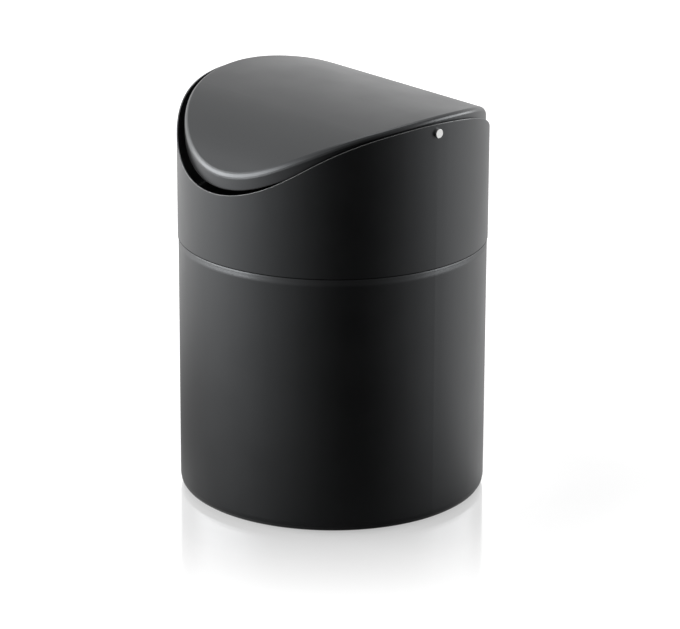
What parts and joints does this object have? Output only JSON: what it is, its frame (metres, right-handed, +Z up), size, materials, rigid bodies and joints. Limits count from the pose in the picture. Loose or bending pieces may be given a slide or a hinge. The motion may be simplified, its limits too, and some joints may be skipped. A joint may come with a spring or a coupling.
{
  "type": "countertop trash can",
  "caption": "Small cylindrical countertop trash can in black coated steel with a lift-off saddle-rimmed collar and an arched swing lid.",
  "frame": {"origin": "centre of the footprint on the worktop, under the base ring", "axes": "+Z up the canister's axis; +X along the lid's pivot axis towards the right pin; -Y towards the front dip of the rim"},
  "size_m": [0.1228, 0.1206, 0.1609],
  "materials": {
    "black_enamel": "satin black powder coat",
    "soft_ring": "matt",
    "pin_steel": "polished",
    "nylon": "moulded",
    "clip_steel": "bright spring steel"
  },
  "bodies": {
    "canister": {"canister": "black_enamel", "base_ring": "soft_ring"},
    "collar": {"collar": "black_enamel", "pivot_pin_left": "pin_steel", "pivot_pin_right": "pin_steel", "pin_clip_left": "clip_steel", "pin_clip_right": "clip_steel"},
    "lid": {"swing_lid": "black_enamel", "lid_bush_left": "nylon", "lid_bush_right": "nylon"}
  },
  "joints": [
    {"name": "collar_lift", "type": "slide", "parent": "canister", "child": "collar", "axis": [0, 0, 1], "range_m": [0, 0.08]},
    {"name": "lid_swing", "type": "hinge", "parent": "collar", "child": "lid", "pos_m": [0, 0, 0.1551], "axis": [1, 0, 0], "range_deg": [-90, 90]}
  ]
}
